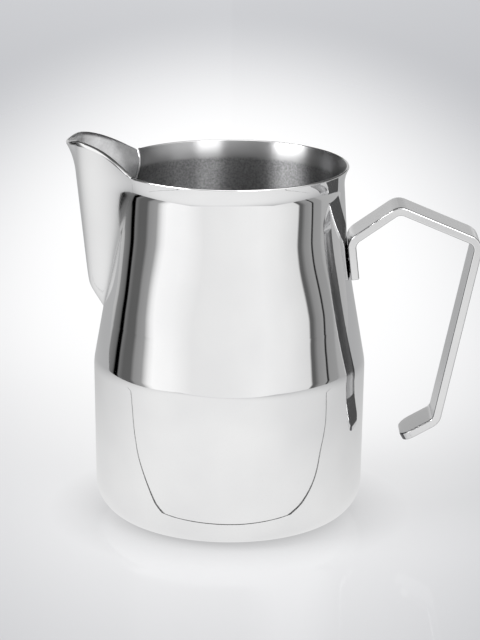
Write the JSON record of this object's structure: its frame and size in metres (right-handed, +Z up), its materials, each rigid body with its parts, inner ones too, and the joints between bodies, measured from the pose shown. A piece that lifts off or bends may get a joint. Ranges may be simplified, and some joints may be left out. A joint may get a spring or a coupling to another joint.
{
  "type": "milk frothing pitcher",
  "caption": "Polished steel milk frothing pitcher with a wide shoulder, flared rim, welded beak spout and an open-ended flat bar handle, for steaming and pouring milk.",
  "frame": {"origin": "centre of the flat base, on the cup's axis and on the surface that the pitcher stands on", "axes": "+Z up along the cup's axis, +X towards the handle, -X towards the spout, and the object is the same on both sides of the plane y = 0"},
  "size_m": [0.1288, 0.085, 0.1203],
  "materials": {
    "polished_steel": "mirror polished outside, satin inside",
    "satin_steel": "satin, brushed along the bar",
    "weld_steel": "ground and polished flush"
  },
  "bodies": {
    "root": {"pitcher_body": "polished_steel", "pouring_spout": "polished_steel", "spout_weld_seam": "weld_steel", "bar_handle": "satin_steel", "handle_spot_welds": "weld_steel"}
  },
  "joints": []
}
